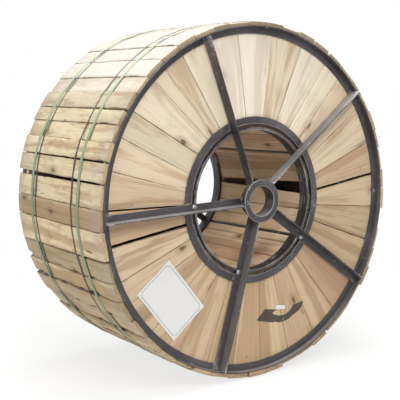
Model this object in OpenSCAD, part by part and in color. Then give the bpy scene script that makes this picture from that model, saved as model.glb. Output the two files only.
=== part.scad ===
// Wooden cable drum, lagged and strapped: steel-framed flanges filled with
// radial boards, a barrel of staves between them and a skin of lagging staves.
// Millimetres, +Z up, drum axis along Y, front flange facing -Y.

/* [Drum] */
// Outer diameter of the two steel rims
drum_d = 1140; // [1100:10:1200]
// Width over the outer edges of the two rims
drum_w = 600; // [540:10:680]

/* [Flange boards] */
// Thickness of the radial boards
board_t = 20; // [16:1:26]
// Clearance between the board ends and the lagging
board_clear = 3; // [2:0.5:5]
// Clearance between the board feet and the barrel staves
board_foot = 1; // [0.5:0.5:3]
// Ordinary seam between two boards
seam_gap = 1.5; // [1:0.5:3]

/* [Rims and rings] */
// Thickness of the rolled steel
steel_t = 4; // [3:0.5:5]
// Radial leg of the rim angle
rim_leg = 25; // [22:1:32]
// Axial leg of the rim angle, standing outboard
rim_lip = 24; // [18:1:32]
// Outer diameter of the inner ring
ring_d = 550; // [530:2:580]
// Radial width of the inner ring
ring_leg = 24; // [22:1:27]
// Radial slot between inner ring and barrel hoop, where stave ends show
hoop_slot = 12; // [11:0.5:14]
// Thickness of the barrel hoop, a flat bar rolled round under the stave ends
hoop_t = 7; // [5:0.5:9]
// Width of that bar along the axis
hoop_depth = 42; // [34:1:60]

/* [Spokes] */
// Width of the leg that lies on the rings
spoke_flat = 25; // [24:1:30]
// Height of the leg that stands outboard
spoke_stand = 38; // [32:1:46]
// Thickness of both legs
spoke_t = 4; // [3:0.5:5]
// Clearance between the spoke ends and the rim
spoke_clear = 0.5; // [0.3:0.1:2]

/* [Hub] */
// Outer diameter of the hub's face plate
hub_d = 142; // [130:1:156]
// Width of the face plate, round the spindle bore
hub_face = 22; // [18:0.5:24]
// Thickness of the face plate
hub_plate = 6; // [5:0.5:8]
// Wall of the hub tube behind the face plate
hub_wall = 5; // [4:0.5:6]
// How far the face plate stands past the spokes
hub_proud = 2; // [0:0.5:4]
// Length of the hub, face plate and tube
hub_len = 46; // [44:1:60]

/* [Tie rods] */
// Diameter of a tie rod
rod_d = 8; // [6:0.5:9]
// Clearance between a rod and the hoop and staves beside it
rod_clear = 0.6; // [0.4:0.1:1]
// Clearance of the rod holes in the spokes, on diameter
hole_clear = 1; // [0.6:0.1:2]
// Diameter of the dome nut
head_d = 18; // [16:0.5:19]
// Height of the flat edge of the dome nut
head_edge = 1.5; // [1:0.1:2]
// Height of the dome over that edge
head_dome = 4; // [3:0.5:6]

/* [Barrel] */
// Thickness of the barrel staves
stave_t = 18; // [15:1:20]
// Ordinary gap between barrel staves
stave_gap = 1.5; // [1:0.5:3]
// The one wide gap
stave_wide = 31; // [20:1:40]
// How far the stave ends lie below the boards' outer face
stave_sink = 8; // [4:1:12]

/* [Lagging] */
// Thickness of an ordinary lagging stave
lag_t = 15.5; // [14:0.5:20]
// Step between thin, ordinary and thick staves
lag_step = 3; // [0:0.5:4]
// Narrowest seam between two lagging staves
lag_seam = 1.8; // [1.5:0.1:4]
// Width of the seams that gape
lag_gape = 12; // [8:1:16]
// Step by which stave ends fall short of the rims
lag_trim = 2.5; // [0:0.5:3]

/* [Straps] */
// Width of the plastic straps
strap_w = 16; // [12:1:19]
// Thickness of the plastic straps
strap_t = 1; // [0.8:0.1:1.5]
// Width of the steel bands
band_w = 7; // [6:1:9]
// Thickness of the steel bands
band_t = 0.8; // [0.6:0.1:1.2]
// Front strap, from the front edge of the drum
strap_front = 142; // [110:1:180]
// Back strap, from the back edge of the drum
strap_back = 126; // [110:1:180]
// Front band, from the front strap towards the middle
band_front = 44; // [22:1:60]
// Back band, from the back strap towards the middle
band_back = 26; // [22:1:60]
// Length of a strap seal
seal_len = 34; // [28:1:40]
// Wall of a strap seal
seal_t = 1; // [0.8:0.1:1.5]
// Clearance between a seal and the edges of its strap
seal_clear = 0.2; // [0.1:0.1:0.5]

/* [Paper] */
// Long side of the sheet pasted on the front boards
sheet_l = 210; // [180:1:220]
// Short side of the sheet
sheet_w = 148; // [120:1:155]
// Thickness of the paper
sheet_t = 0.5; // [0.3:0.1:0.8]
// Length of the small sticker
sticker_l = 40; // [30:1:60]
// Width of the small sticker
sticker_w = 14; // [10:1:20]

/* [Hidden] */
$fn = 96;
R = drum_d / 2;
face_y = drum_w / 2 - rim_lip;          // outer face of the boards
ring_o = ring_d / 2;
ring_i = ring_o - ring_leg;
hoop_o = ring_i - hoop_slot;            // staves lie on this radius
hoop_i = hoop_o - hoop_t;
stave_i = hoop_o;
stave_o = stave_i + stave_t;
board_o = R - board_clear;
// the feet of the widest boards clear the corners of the widest staves
board_i = (stave_o + board_foot) / cos(12.5) / cos(7.75);
spoke_z = steel_t;                      // spokes lie on the rims and rings
hub_front = spoke_z + spoke_stand + hub_proud;
back_turn = -3;                         // the back frame is not quite in line with the front one
bore_d = hub_d - 2 * hub_face;          // spindle bore
tube_d = bore_d + 2 * hub_wall;
spoke_out = sqrt(pow(R - steel_t, 2) - pow(spoke_flat / 2, 2)) - spoke_clear;
rod_y = -spoke_t / 2;                   // middle of the free width of the flat leg
rod_r = hoop_o + rod_d / 2 + rod_clear; // the rods run between staves
rod_half = face_y + spoke_z + spoke_t;  // half of a rod, up to its dome nuts
hole_d = rod_d + hole_clear;
spoke_angles = [38, 110, 182, 254, 325];
// the sheet's place in the free width between inner ring and rim
sheet_at = 222;
sheet_tilt = -3;                        // its long side, off the rim's direction
sheet_half = sheet_w / 2 * cos(sheet_tilt) + sheet_l / 2 * sin(-sheet_tilt);
sheet_room = sqrt(pow(R - rim_leg, 2) - pow(sheet_l / 2, 2)) - ring_o - 2 * sheet_half;
sheet_r = ring_o + sheet_half + sheet_room * 0.82;
sticker_r = ring_o + (R - rim_leg - ring_o) * 0.44;

// Board seams of the front flange: angle at the rim, angle at the barrel, gap in ordinary seams
front_seams = [
    [6, 3, 7], [18.5, 14, 1.5], [32.5, 28, 1.5], [47, 44, 1], [55, 57, 1],
    [68, 69, 1.5], [82, 82, 1], [97, 97, 2], [109, 108, 1], [121, 120, 1.5],
    [134.5, 132, 1], [147, 144, 1.5], [156, 159, 1.5], [167, 170, 1.5], [179.5, 180, 4],
    [191, 193, 8], [203, 203, 1.5], [211, 213, 1], [224, 225, 1.5], [237, 237, 1],
    [250, 249, 1.5], [261, 262, 1], [273, 275, 1.5], [286, 288, 1.5], [298.5, 302, 1],
    [311, 312, 1.5], [325.5, 325, 1.5], [340.5, 341, 2], [353.5, 352, 1.5]];
// The back flange is boarded more evenly
back_count = 28;
back_seams = [for (i = [0 : back_count - 1])
    [i * 360 / back_count + 2.2 * sin(i * 137), i * 360 / back_count + 1.6 * sin(i * 71),
     i % 9 == 4 ? 6 : 1 + (i % 3) / 2]];

// Lagging seams round the drum; the first stave lies flat on the ground
lag_seams = [-93.75, -86.25, -79, -71.5, -65, -57.5, -50, -43.5, -36, -28.5, -21.5,
    -14, -7, 0.5, 7.5, 15, 22, 29.5, 36, 43.5, 51, 57.5, 65, 72, 79.5, 86, 93.5, 101,
    107.5, 115, 122, 129, 136.5, 142.5, 148.5, 153.5, 159, 165, 171.5, 179, 185.5,
    194.5, 201.5, 207.5, 215, 222, 229.5, 236.5, 243.5, 251, 258.5];
lag_count = len(lag_seams);
lag_wide = [5, 21, 38, 41, 48];         // seams that gape
function lag_gap(i) = len(search(i % lag_count, lag_wide)) > 0 ? lag_gape : lag_seam * (1 + 0.4 * ((i * 5) % 3));
function lag_from(i) = lag_seams[i % lag_count] + (i >= lag_count ? 360 : 0);
function lag_mid(i) = (lag_from(i) + lag_from(i + 1)) / 2;
function lag_half(i) = (lag_from(i + 1) - lag_from(i)) / 2;
// the ground stave and every seventh one are thick
function lag_thick(i) = lag_t + lag_step * (i == 0 || i % 7 == 1 ? 1 : i % 3 == 2 ? -1 : 0);
function lag_short(i) = lag_trim * ((i * 5) % 4);

// Barrel seams at mid-length: angle, gap in ordinary gaps; 0 is the wide gap, -1 leaves room for a tie rod
barrel_seams = [[3.8, 0], [27.5, 1], [36, -1], [46, 1], [59, 1.4], [74, 1], [86, 1.4], [97, 2],
    [108, -1], [119, 1], [131, 1.4], [145, 1], [157, 1.4], [169, 2], [180, -1], [192, 1],
    [204, 1.4], [217, 1], [229, 1.4], [241, 1], [252, -1], [265, 1], [281, 1.4], [299, 1],
    [315, 1], [323, -1], [335, 1], [346, 1]];
barrel_count = len(barrel_seams);
function barrel_from(i) = barrel_seams[i % barrel_count][0] + (i >= barrel_count ? 360 : 0);
function barrel_gap(i) = let (g = barrel_seams[i % barrel_count][1])
    g == 0 ? stave_wide : g < 0 ? rod_d + 4 * rod_clear : stave_gap * g;
// the barrel is twisted as much as the back frame is turned
barrel_skew = atan(rod_r * sin(-back_turn / 2) / rod_half);

strap_at = [-drum_w / 2 + strap_front, drum_w / 2 - strap_back];
band_at = [strap_at[0] + band_front, strap_at[1] - band_back];
strap_seal_staves = [29, 8];            // thick staves, where the strap lies flat
band_seal_staves = [15, 22];

steel = [0.26, 0.25, 0.27];
pale = [0.84, 0.72, 0.52];
brown = [0.74, 0.60, 0.42];
green = [0.47, 0.62, 0.45];
bright = [0.68, 0.68, 0.70];

// Flange frame: z = 0 on the boards' outer face, z outboard, x right, y up
module at_front() { translate([0, -face_y, 0]) rotate([90, 0, 0]) children(); }
module at_back() { mirror([0, 1, 0]) at_front() children(); }
// Axial frame: z runs from front to back, x right, y up
module along() { rotate([-90, 0, 0]) mirror([0, 1, 0]) children(); }

function polar(r, a, off) = [r * cos(a) - off * sin(a), r * sin(a) + off * cos(a)];

module rim() color(steel) rotate_extrude() polygon([
    [R - rim_leg, 0], [R, 0], [R, rim_lip], [R - steel_t, rim_lip],
    [R - steel_t, steel_t], [R - rim_leg, steel_t]]);

module ring() color(steel) rotate_extrude() polygon([
    [ring_i, 0], [ring_o, 0], [ring_o, steel_t], [ring_i, steel_t]]);

module hoop() color(steel) rotate_extrude() polygon([
    [hoop_i, spoke_z], [hoop_o, spoke_z], [hoop_o, spoke_z - hoop_depth], [hoop_i, spoke_z - hoop_depth]]);

module hub() color(steel) translate([0, 0, hub_front]) mirror([0, 0, 1]) difference() {
    union() {
        cylinder(d = hub_d, h = hub_plate);
        cylinder(d = tube_d, h = hub_len);
    }
    translate([0, 0, -1]) cylinder(d = bore_d, h = hub_len + 2);
}

// An angle bar, notched under the hub's face plate and cut round to the hub tube
module spoke(i, turn) color(steel) rotate(spoke_angles[i] + turn) difference() {
    union() {
        translate([0, -spoke_flat / 2, spoke_z]) cube([spoke_out, spoke_flat, spoke_t]);
        translate([0, spoke_flat / 2 - spoke_t, spoke_z]) cube([spoke_out, spoke_t, spoke_stand]);
    }
    translate([0, 0, spoke_z - 1]) cylinder(d = tube_d, h = spoke_stand + 2);
    translate([0, 0, hub_front - hub_plate]) cylinder(d = hub_d, h = hub_plate + 1);
    translate([rod_r, rod_y, spoke_z - 1]) cylinder(d = hole_d, h = spoke_t + 2, $fn = 32);
}

// Dome nut on the end of a tie rod
module dome_nut() {
    cylinder(d = head_d, h = head_edge, $fn = 32);
    translate([0, 0, head_edge]) cylinder(d1 = head_d, d2 = head_d * 0.72, h = head_dome * 0.6, $fn = 32);
    translate([0, 0, head_edge + head_dome * 0.6])
        cylinder(d1 = head_d * 0.72, d2 = head_d * 0.3, h = head_dome * 0.4, $fn = 32);
}

// Tie rods from flange to flange, as askew as the two frames are turned
module tie_rods() color(bright) for (a = spoke_angles) {
    f = polar(rod_r, a, rod_y);
    b = polar(rod_r, a + back_turn, rod_y);
    front = [f[0], -rod_half, f[1]];
    back = [b[0], rod_half, b[1]];
    translate(front) rotate([90, 0, 0]) dome_nut();
    translate(back) rotate([-90, 0, 0]) dome_nut();
    way = back - front;
    reach = norm(way);
    translate((front + back) / 2) rotate([0, acos(way[2] / reach), atan2(way[1], way[0])])
        cylinder(d = rod_d, h = reach + head_edge, center = true, $fn = 32);
}

// A pasted sheet and a small sticker, flat on the front boards
module paper() color([0.93, 0.93, 0.92]) {
    rotate(sheet_at) translate([sheet_r, 0, 0]) rotate(90 + sheet_tilt)
        translate([-sheet_l / 2, -sheet_w / 2, 0]) cube([sheet_l, sheet_w, sheet_t]);
    rotate(287) translate([sticker_r, 0, 0]) rotate(-287 - 9)
        translate([-sticker_l / 2, -sticker_w / 2, 0]) cube([sticker_l, sticker_w, sheet_t]);
}

// One tapered board between two seams, its outer end cut round to the rim
module board(s, e) {
    far = board_o * 1.03;
    intersection() {
        translate([0, 0, -board_t]) linear_extrude(board_t) polygon([
            polar(board_i, s[1], s[2] * seam_gap / 2), polar(far, s[0], s[2] * seam_gap / 2),
            polar(far, e[0], -e[2] * seam_gap / 2), polar(board_i, e[1], -e[2] * seam_gap / 2)]);
        translate([0, 0, -board_t - 1]) cylinder(r = board_o, h = board_t + 2);
    }
}

module boards(seams, k) {
    n = len(seams);
    for (i = [0 : n - 1]) if (floor(i * 5 / n) == k)
        color(i % 2 == 0 ? pale : brown)
            board(seams[i], i + 1 < n ? seams[i + 1] : seams[0] + [360, 360, 0]);
}

module barrel_staves(k) {
    length = 2 * (face_y - stave_sink);
    for (i = [0 : barrel_count - 1]) if (floor(i * 4 / barrel_count) == k) {
        half = (barrel_from(i + 1) - barrel_from(i)) / 2;
        wide_from = stave_i * tan(half) - barrel_gap(i) / 2;
        wide_to = stave_i * tan(half) - barrel_gap(i + 1) / 2;
        color(i % 2 == 0 ? brown : pale)
            along() rotate(barrel_from(i) + half) rotate([barrel_skew, 0, 0])
                translate([stave_i, -wide_from, -length / 2])
                    cube([stave_t, wide_from + wide_to, length]);
    }
}

// Flat outline of one lagging stave, across the drum
module lag_outline(i) {
    wide_from = R * tan(lag_half(i)) - lag_gap(i) / 2;
    wide_to = R * tan(lag_half(i)) - lag_gap(i + 1) / 2;
    rotate(lag_mid(i)) translate([R, -wide_from]) square([lag_thick(i), wide_from + wide_to]);
}

module lagging(k) {
    for (i = [0 : lag_count - 1]) if (floor(i * 8 / lag_count) == k) {
        wide_from = R * tan(lag_half(i)) - lag_gap(i) / 2;
        wide_to = R * tan(lag_half(i)) - lag_gap(i + 1) / 2;
        length = drum_w - lag_short(i) - lag_short(i + 3);
        color(i % 2 == 0 ? pale : brown)
            along() rotate(lag_mid(i))
                translate([R, -wide_from, -drum_w / 2 + lag_short(i)])
                    cube([lag_thick(i), wide_from + wide_to, length]);
    }
}

// A taut band round all the staves
module hoop_band(y, w, t, tint) color(tint)
    along() translate([0, 0, y - w / 2]) linear_extrude(w) difference() {
        offset(delta = t) hull() for (i = [0 : lag_count - 1]) lag_outline(i);
        hull() for (i = [0 : lag_count - 1]) lag_outline(i);
    }

// A crimped seal: a channel over the band, its lips down on the stave
module seal(i, y, w, t, len) {
    out = R + lag_thick(i);
    along() rotate(lag_mid(i)) difference() {
        translate([out, -len / 2, y - w / 2 - seal_t - seal_clear])
            cube([t + seal_t, len, w + 2 * (seal_t + seal_clear)]);
        translate([out - 1, -len / 2 - 1, y - w / 2 - seal_clear])
            cube([t + 1, len + 2, w + 2 * seal_clear]);
    }
}

module strap_seals() color(bright) for (k = [0, 1])
    seal(strap_seal_staves[k], strap_at[k], strap_w, strap_t, seal_len);
module band_seals() color(bright) for (k = [0, 1])
    seal(band_seal_staves[k], band_at[k], band_w, band_t, seal_len * 0.75);

at_front() rim();  // front_rim
at_back() rim();  // back_rim
at_front() ring();  // front_ring
at_back() ring();  // back_ring
at_front() hoop();  // front_hoop
at_back() hoop();  // back_hoop
at_front() hub();  // front_hub
at_back() hub();  // back_hub
at_front() spoke(0, 0);  // front_spoke_1
at_front() spoke(1, 0);  // front_spoke_2
at_front() spoke(2, 0);  // front_spoke_3
at_front() spoke(3, 0);  // front_spoke_4
at_front() spoke(4, 0);  // front_spoke_5
at_back() spoke(0, back_turn);  // back_spoke_1
at_back() spoke(1, back_turn);  // back_spoke_2
at_back() spoke(2, back_turn);  // back_spoke_3
at_back() spoke(3, back_turn);  // back_spoke_4
at_back() spoke(4, back_turn);  // back_spoke_5
tie_rods();
at_front() paper();  // front_paper
at_front() boards(front_seams, 0);  // front_boards_1
at_front() boards(front_seams, 1);  // front_boards_2
at_front() boards(front_seams, 2);  // front_boards_3
at_front() boards(front_seams, 3);  // front_boards_4
at_front() boards(front_seams, 4);  // front_boards_5
at_back() boards(back_seams, 0);  // back_boards_1
at_back() boards(back_seams, 1);  // back_boards_2
at_back() boards(back_seams, 2);  // back_boards_3
at_back() boards(back_seams, 3);  // back_boards_4
at_back() boards(back_seams, 4);  // back_boards_5
barrel_staves(0);  // barrel_staves_1
barrel_staves(1);  // barrel_staves_2
barrel_staves(2);  // barrel_staves_3
barrel_staves(3);  // barrel_staves_4
lagging(0);  // lagging_1
lagging(1);  // lagging_2
lagging(2);  // lagging_3
lagging(3);  // lagging_4
lagging(4);  // lagging_5
lagging(5);  // lagging_6
lagging(6);  // lagging_7
lagging(7);  // lagging_8
hoop_band(strap_at[0], strap_w, strap_t, green);  // front_strap
hoop_band(strap_at[1], strap_w, strap_t, green);  // back_strap
hoop_band(band_at[0], band_w, band_t, steel);  // front_band
hoop_band(band_at[1], band_w, band_t, steel);  // back_band
strap_seals();
band_seals();
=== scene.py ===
import math

import bmesh
import bpy
from mathutils import Matrix, Vector


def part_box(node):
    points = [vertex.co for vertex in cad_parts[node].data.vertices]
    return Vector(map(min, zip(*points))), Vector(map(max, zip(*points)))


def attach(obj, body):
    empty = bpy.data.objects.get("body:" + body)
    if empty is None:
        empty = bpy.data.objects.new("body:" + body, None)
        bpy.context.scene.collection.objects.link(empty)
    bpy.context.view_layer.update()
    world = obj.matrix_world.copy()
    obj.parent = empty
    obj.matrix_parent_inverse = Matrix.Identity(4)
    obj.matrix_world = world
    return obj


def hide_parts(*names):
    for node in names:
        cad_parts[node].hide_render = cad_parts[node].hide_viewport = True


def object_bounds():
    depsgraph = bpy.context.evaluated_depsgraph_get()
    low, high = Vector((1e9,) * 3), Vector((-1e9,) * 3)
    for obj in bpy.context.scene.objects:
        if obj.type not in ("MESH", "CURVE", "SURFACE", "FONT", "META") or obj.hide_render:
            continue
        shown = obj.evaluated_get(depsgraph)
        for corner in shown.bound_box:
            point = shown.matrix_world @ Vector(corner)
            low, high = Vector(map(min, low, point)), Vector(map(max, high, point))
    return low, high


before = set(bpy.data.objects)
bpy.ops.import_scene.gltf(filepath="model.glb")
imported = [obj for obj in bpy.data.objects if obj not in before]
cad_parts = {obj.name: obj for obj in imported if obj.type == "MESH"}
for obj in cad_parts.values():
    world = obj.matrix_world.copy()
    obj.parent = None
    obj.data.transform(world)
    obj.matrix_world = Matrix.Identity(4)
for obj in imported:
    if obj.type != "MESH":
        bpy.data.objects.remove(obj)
CAD_BOX = [list(corner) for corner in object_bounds()]

bl_info = {
    "name": "Wooden Cable Drum",
    "version": (1, 0, 0),
    "blender": (4, 5, 0),
    "location": "View3D > Sidebar > Drum",
    "description": "Dresses a lagged wooden cable drum: planks, steel frame, straps and paper",
    "category": "Object",
}

# Sizes that the frame gives; lengths are in metres unless a comment says millimetres
RIM_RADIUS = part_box("front_rim")[1].x
RIM_EDGE = -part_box("front_rim")[0].y
FACE = -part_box("front_rim")[1].y
RING_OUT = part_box("front_ring")[1].x
HUB_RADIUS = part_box("front_hub")[1].x

# Steel sections
STEEL = 0.004
RIM_LEG, RIM_LIP = 0.025, 0.024
RING_IN = RING_OUT - 0.024
HOOP_SLOT, HOOP_THICK, HOOP_DEEP = 0.012, 0.007, 0.042
HOOP_OUT = RING_IN - HOOP_SLOT
HOOP_IN = HOOP_OUT - HOOP_THICK
HUB_BORE, HUB_TUBE = 0.049, 0.054
HUB_FOOT, HUB_PLATE, HUB_TOP = -0.002, 0.038, 0.044
SPOKE_HALF, SPOKE_TALL = 0.0125, 0.038
SPOKE_START, SPOKE_STOP = 0.0535, 0.5654
NOTCH_LONG, NOTCH_STEP, NOTCH_DEEP = 0.0169, 0.0008, 0.0044
SPOKES = (38, 110, 182, 254, 325)
BACK_TURN = -3
NUT_SEAT = 2 * STEEL
ROD_RADIUS = HOOP_OUT + 0.0046
ROD_HALF = FACE + NUT_SEAT
# The joint of each rolled rim, in degrees
RIM_JOINTS = {"front": 86.5, "back": 200}

# Planks
BOARD_THICK, BOARD_FOOT, BOARD_ROOM = 0.020, 0.2667, 0.003
STAVE_THICK, STAVE_SINK = 0.018, 0.008
LAG_THICK, LAG_STEP, LAG_TRIM, LAG_CHAMFER = 0.0155, 0.003, 0.0025, 0.0025
BOARD_GROUPS, STAVE_GROUPS, LAG_GROUPS = 5, 4, 8
# Turns a seam's gap in millimetres into what each of its two planks gives up
HALF_MM = 0.0005
# The barrel is twisted as much as the back frame is turned
SKEW = math.atan(ROD_RADIUS * math.sin(math.radians(-BACK_TURN / 2)) / ROD_HALF)
# The wide gap of the barrel is this much wider in front than at the back
BARREL_FLARE = 0.026

# Paper: radius, angle and turn on the front flange, in metres and degrees
SHEET_AT, STICKER_AT = (0.4372, 222, -51), (0.3938, 287, -9)
STICKER = (0.040, 0.014)
SHEET_MARGIN = 0.008

# Camera: place, how far it looks down and to the right in degrees, lens in millimetres, shift
CAMERA_AT = (-1.772, -2.5401, 0.3579)
CAMERA_DOWN, CAMERA_RIGHT = 3.852, 35.487
CAMERA_LENS, CAMERA_SHIFT = 78.742, (-0.0375, -0.125)

# Board seams of the front flange: angle at the rim, angle at the barrel, gap in millimetres
FRONT_SEAMS = (
    (6, 3, 10.5), (18.5, 14, 2.2), (32.5, 28, 2.2), (47, 44, 1.5), (55, 57, 1.5),
    (68, 69, 2.2), (82, 82, 1.5), (97, 97, 3), (109, 108, 1.5), (121, 120, 2.2),
    (134.5, 132, 1.5), (147, 144, 2.2), (156, 159, 2.2), (167, 170, 2.2), (179.5, 180, 6),
    (191, 193, 12), (203, 203, 2.2), (211, 213, 1.5), (224, 225, 2.2), (237, 237, 1.5),
    (250, 249, 2.2), (261, 262, 1.5), (273, 275, 2.2), (286, 288, 2.2), (298.5, 302, 1.5),
    (311, 312, 2.2), (325.5, 325, 2.2), (340.5, 341, 3), (353.5, 352, 2.2))
# Front seams that close towards the barrel, and the share of the gap that is left there
TIGHT_SEAMS, TIGHT_SHARE = (12, 13), 0.1
# Boards of the front flange that stand out: near white, and reddish brown with their shade
PALE_BOARDS = (3, 4, 6, 7)
RED_BOARDS = {14: 1.26, 25: 0.98}
# Planks that are lighter or darker than their neighbours
BOARD_TONES = {1: 0.06, 2: 0.12, 4: -0.08, 5: -0.10, 6: -0.06, 7: 0.06, 11: -0.18, 21: 0.10, 27: -0.10}
STAVE_TONES = {35: 0.10, 37: -0.08, 41: -0.08}
# Board seams of the back flange: as in front, but nearly even
BACK_COUNT = 28
BACK_SEAMS = tuple(
    (i * 360 / BACK_COUNT + 2.2 * math.sin(math.radians(i * 137)),
     i * 360 / BACK_COUNT + 1.6 * math.sin(math.radians(i * 71)),
     9 if i % 9 == 4 else 1.5 + (i % 3) * 0.75)
    for i in range(BACK_COUNT))
# Lagging seams round the drum, in degrees; the first stave lies flat on the ground
LAG_SEAMS = (
    -93.75, -86.25, -79, -71.5, -65, -57.5, -50, -43.5, -36, -28.5, -21.5,
    -14, -7, 0.5, 7.5, 15, 22, 29.5, 36, 43.5, 51, 57.5, 65, 72, 79.5, 86, 93.5, 101,
    107.5, 115, 122, 129, 136.5, 142.5, 148.5, 153.5, 159, 165, 171.5, 179, 185.5,
    194.5, 201.5, 207.5, 215, 222, 229.5, 236.5, 243.5, 251, 258.5)
# Open lagging seams: width at the front and at the back, in millimetres
LAG_GAPES = {5: (9, 9), 21: (6, 11), 34: (8, 1.5), 37: (5.5, 1.5), 38: (4, 15), 41: (9, 2.5), 48: (10, 7)}
# Lagging staves that stand out: brown ones, dull ones, and ones with ragged edges
BROWN_STAVES = (8, 17, 39, 41, 43)
DULL_STAVES = (3, 20, 33, 44)
ROUGH_STAVES = (36, 41, 42, 43, 44, 45, 46, 47)
# Barrel seams at mid-length: angle, gap in millimetres; the tie rods run in the 10.4 mm ones
BARREL_SEAMS = (
    (3.8, 31), (27.5, 1.5), (36, 10.4), (46, 1.5), (59, 2), (74, 1.5), (86, 2), (97, 3),
    (108, 10.4), (119, 1.5), (131, 2), (145, 1.5), (157, 2), (169, 3), (180, 10.4), (192, 1.5),
    (204, 2), (217, 1.5), (229, 2), (241, 1.5), (252, 10.4), (265, 1.5), (281, 2), (299, 1.5),
    (315, 1.5), (323, 10.4), (335, 1.5), (346, 1.5))

# Rolling sign, in millimetres on the front flange: its bow, and the corners of its straight parts
BOW_X, BOW_Z, BOW_RADIUS, BOW_HALF = 121.7, -345, 72.7, 11.4
SIGN_PARTS = (
    [(13, -408), (50, -417.5), (89, -426), (83, -392), (50, -374)],
    [(50, -374), (83, -392), (100, -383)],
    [(176, -376), (171, -389), (173, -412), (198, -401), (214, -387), (218, -370)])

# Colours of dirt and wear, and of painted light and shade
DIRT, SPECK, CRACK = (0.27, 0.225, 0.175), (0.13, 0.095, 0.065), (0.055, 0.04, 0.03)
GREYED, BLOT, PINHOLE = (0.34, 0.30, 0.25), (0.26, 0.175, 0.095), (0.06, 0.045, 0.035)
BARK, BARK_IN_PAINTED_SHADE = (0.17, 0.11, 0.065), (0.09, 0.06, 0.04)
RUST, PAINTED_SIDE_LIGHT, STEEL_DUST_AND_TOP_LIGHT = (0.105, 0.055, 0.032), (0.125, 0.12, 0.115), (0.38, 0.365, 0.355)
BORE_PAINTED_SHADE, ZINC_STAIN = (0.013, 0.012, 0.013), (0.20, 0.15, 0.11)
STRAP_SHINE, STRAP_DUST, STRAP_PAINTED_TOP_LIGHT = (0.52, 0.64, 0.50), (0.45, 0.42, 0.34), (0.62, 0.62, 0.50)
BAND_RUBBED, BAND_PAINTED_TOP_LIGHT = (0.16, 0.16, 0.15), (0.36, 0.36, 0.31)
PAPER_FLECK, PAPER_STAIN, PAPER_LINE = (0.70, 0.70, 0.69), (0.62, 0.58, 0.50), (0.20, 0.22, 0.28)
LAMP_TINT, WHITE, FLOOR_GREY = (1.0, 0.99, 0.97), (1, 1, 1), (0.86, 0.86, 0.86)


def chance(i, k):
    """A number from 0 to 1 that looks random and is the same in every run."""
    return (math.sin(i * 12.9898 + k * 78.233 + 1.7) * 43758.5453) % 1.0


def length(label, what, value):
    """A length that a user can change, in metres."""
    return bpy.props.FloatProperty(name=label, description=what, default=value, unit="LENGTH")


def colour(label, what, value):
    """A colour that a user can change."""
    return bpy.props.FloatVectorProperty(
        name=label, description=what, default=value, size=3, min=0, max=1, subtype="COLOR")


class DrumSizes(bpy.types.PropertyGroup):
    """Sizes of the drum's details."""
    plank_edge: length("Plank edge", "Rounding of a sawn plank edge", 0.0009)
    plank_wander: length("Plank wander", "How far a plank edge strays from a straight line", 0.0006)
    steel_edge: length("Steel edge", "Rounding of a rolled steel edge", 0.0009)
    bead_width: length("Weld bead", "Width of a weld bead", 0.007)
    dome_nut: length("Dome nut", "Diameter of the nuts on the tie rods", 0.018)
    sheet_long: length("Sheet length", "Long side of the pasted sheet", 0.210)
    sheet_short: length("Sheet width", "Short side of the pasted sheet", 0.148)


class DrumColours(bpy.types.PropertyGroup):
    """Colours of the drum's finishes."""
    sapwood: colour("Sapwood", "Pale wood near the bark", (0.70, 0.60, 0.455))
    # Colour of the top planks: partly sun bleaching, partly painted top light
    bleached_and_lit: colour("Bleached wood", "Planks that the sun has bleached", (0.70, 0.665, 0.60))
    tanwood: colour("Tan sapwood", "Sapwood of planks that have kept their colour", (0.60, 0.455, 0.295))
    heartwood: colour("Heartwood", "Tan wood near the pith", (0.40, 0.270, 0.160))
    pinkwood: colour("Pink heartwood", "Reddish heartwood of some planks", (0.42, 0.272, 0.175))
    knot: colour("Knot", "Knots and bark pockets", (0.13, 0.07, 0.04))
    end_grain: colour("End grain", "Sawn ends of the lagging", (0.47, 0.345, 0.20))
    # Dark barrel stave ends: dirt and painted shade
    dirty_shaded_end: colour("Dull end grain", "Dirty ends of the barrel staves", (0.15, 0.11, 0.085))
    steel: colour("Frame steel", "Grey paint of rims, rings and spokes", (0.042, 0.036, 0.041))
    worn: colour("Worn steel", "Rubbed edges of the frame", (0.46, 0.45, 0.45))
    strap: colour("Strap", "Embossed plastic strap", (0.215, 0.295, 0.165))
    band: colour("Band", "Dark steel band", (0.035, 0.04, 0.036))
    zinc: colour("Zinc", "Dome nuts and crimped seals", (0.40, 0.40, 0.42))
    paper: colour("Paper", "Pasted sheet", (0.67, 0.67, 0.67))
    stencil: colour("Stencil", "Painted rolling sign", (0.05, 0.04, 0.035))


class Sock:
    """An output socket in a node tree. Sums on it add Math nodes."""

    def __init__(self, nodes, out):
        self.nodes, self.out = nodes, out

    def _do(self, operation, *values):
        return self.nodes.node("ShaderNodeMath", {"operation": operation}, *values)

    def __add__(self, other): return self._do("ADD", self, other)
    def __radd__(self, other): return self._do("ADD", other, self)
    def __sub__(self, other): return self._do("SUBTRACT", self, other)
    def __rsub__(self, other): return self._do("SUBTRACT", other, self)
    def __mul__(self, other): return self._do("MULTIPLY", self, other)
    def __rmul__(self, other): return self._do("MULTIPLY", other, self)
    def __pow__(self, other): return self._do("POWER", self, other)
    def __abs__(self): return self._do("ABSOLUTE", self)
    def low(self, other): return self._do("MINIMUM", self, other)
    def high(self, other): return self._do("MAXIMUM", self, other)
    def sine(self): return self._do("SINE", self)
    def root(self): return self._do("SQRT", self)
    def turn(self, other): return self._do("ARCTAN2", self, other)

    def ramp(self, a, b):
        """0 below a and 1 above b, smooth between; a may be the larger one."""
        smooth = {"interpolation_type": "SMOOTHSTEP"}
        return self.nodes.node("ShaderNodeMapRange", smooth, self, a, b, 0.0, 1.0)

    def also(self, name):
        """Another output of the same node."""
        return Sock(self.nodes, self.out.node.outputs[name])


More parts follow.
